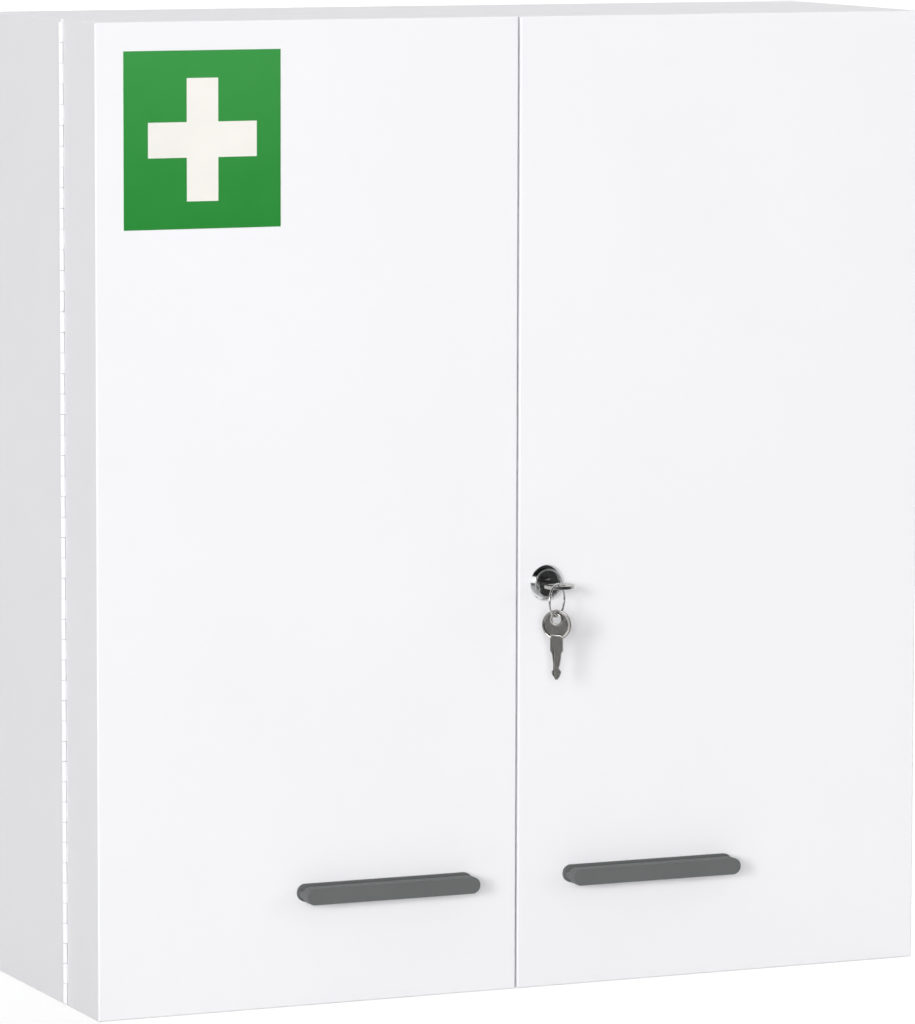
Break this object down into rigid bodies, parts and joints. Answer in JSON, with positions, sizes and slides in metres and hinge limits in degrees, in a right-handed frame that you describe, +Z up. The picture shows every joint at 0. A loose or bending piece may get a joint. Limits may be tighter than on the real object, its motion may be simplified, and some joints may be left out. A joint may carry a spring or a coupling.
{
  "type": "lockable wall cabinet",
  "caption": "Shallow steel wall cabinet with two tray doors on continuous hinges, door racks, adjustable shelves, pull handles, a slide bolt and a cam lock with keys.",
  "frame": {"origin": "middle of the cabinet's back face, which is the middle of its wall holes", "axes": "+X to the right as seen from the front, +Y into the wall, +Z up"},
  "size_m": [0.5548, 0.2131, 0.6],
  "materials": {
    "paint": "fine powder coat, semi-gloss white",
    "hinge_paint": "powder coat over rolled knuckles",
    "zinc_plate": "bright zinc plate",
    "pin_steel": "bright steel",
    "catch_plastic": "white moulded plastic",
    "rubber": "soft grey rubber",
    "handle_plastic": "dark grey, finely grained",
    "chrome": "polished",
    "key_nickel": "nickel plate, pressed",
    "ring_wire": "bright wire"
  },
  "bodies": {
    "cabinet": {"body_wrap": "paint", "back_panel": "paint", "left_front_rail": "zinc_plate", "left_rear_rail": "zinc_plate", "right_front_rail": "zinc_plate", "right_rear_rail": "zinc_plate", "lower_shelf": "paint", "middle_shelf": "paint", "upper_shelf": "paint", "lower_shelf_clips": "zinc_plate", "middle_shelf_clips": "zinc_plate", "upper_shelf_clips": "zinc_plate", "left_hinge_body_leaf": "hinge_paint", "right_hinge_body_leaf": "hinge_paint", "left_hinge_pin": "pin_steel", "right_hinge_pin": "pin_steel", "left_catch_case": "catch_plastic", "right_catch_case": "catch_plastic", "left_catch_magnet": "pin_steel", "right_catch_magnet": "pin_steel", "door_buffers": "rubber"},
    "left_door": {"left_door_shell": "paint", "left_hinge_door_leaf": "hinge_paint", "left_door_lower_rack": "paint", "left_door_middle_rack": "paint", "left_door_upper_rack": "paint", "left_handle": "handle_plastic", "left_handle_screws": "zinc_plate", "bolt_base": "zinc_plate", "bolt_guide": "zinc_plate", "bolt_rivets": "zinc_plate"},
    "slide_bolt": {"slide_bolt": "pin_steel"},
    "right_door": {"right_door_shell": "paint", "right_hinge_door_leaf": "hinge_paint", "right_door_lower_rack": "paint", "right_door_middle_rack": "paint", "right_door_upper_rack": "paint", "right_handle": "handle_plastic", "right_handle_screws": "zinc_plate", "lock_housing": "chrome", "lock_nut": "zinc_plate"},
    "lock_plug": {"lock_plug": "chrome", "lock_cam": "zinc_plate", "cam_washer": "zinc_plate", "cam_bolt": "zinc_plate"},
    "lock_key": {"lock_key": "key_nickel"},
    "key_ring": {"key_ring": "ring_wire"},
    "spare_key": {"spare_key": "key_nickel"}
  },
  "joints": [
    {"name": "left_door_swing", "type": "hinge", "parent": "cabinet", "child": "left_door", "pos_m": [-0.27585, -0.1239, 0], "axis": [0, 0, -1], "range_deg": [0, 180]},
    {"name": "right_door_swing", "type": "hinge", "parent": "cabinet", "child": "right_door", "pos_m": [0.27585, -0.1239, 0], "axis": [0, 0, 1], "range_deg": [0, 180]},
    {"name": "bolt_slide", "type": "slide", "parent": "left_door", "child": "slide_bolt", "axis": [0, 0, 1], "range_m": [0, 0.012]},
    {"name": "lock_turn", "type": "hinge", "parent": "right_door", "child": "lock_plug", "pos_m": [0.0195, -0.1812, -0.048], "axis": [0, 1, 0], "range_deg": [0, 90]},
    {"name": "key_slide", "type": "slide", "parent": "lock_plug", "child": "lock_key", "axis": [0, -1, 0], "range_m": [0, 0.018]},
    {"name": "ring_swing", "type": "hinge", "parent": "lock_key", "child": "key_ring", "pos_m": [0.0146, -0.20606, -0.0455], "axis": [-0.7771, -0.6293, 0], "range_deg": [-12, 12]},
    {"name": "spare_key_swing", "type": "hinge", "parent": "key_ring", "child": "spare_key", "pos_m": [0.0146, -0.20606, -0.0655], "axis": [-0.6561, -0.7547, 0], "range_deg": [-25, 25]}
  ]
}
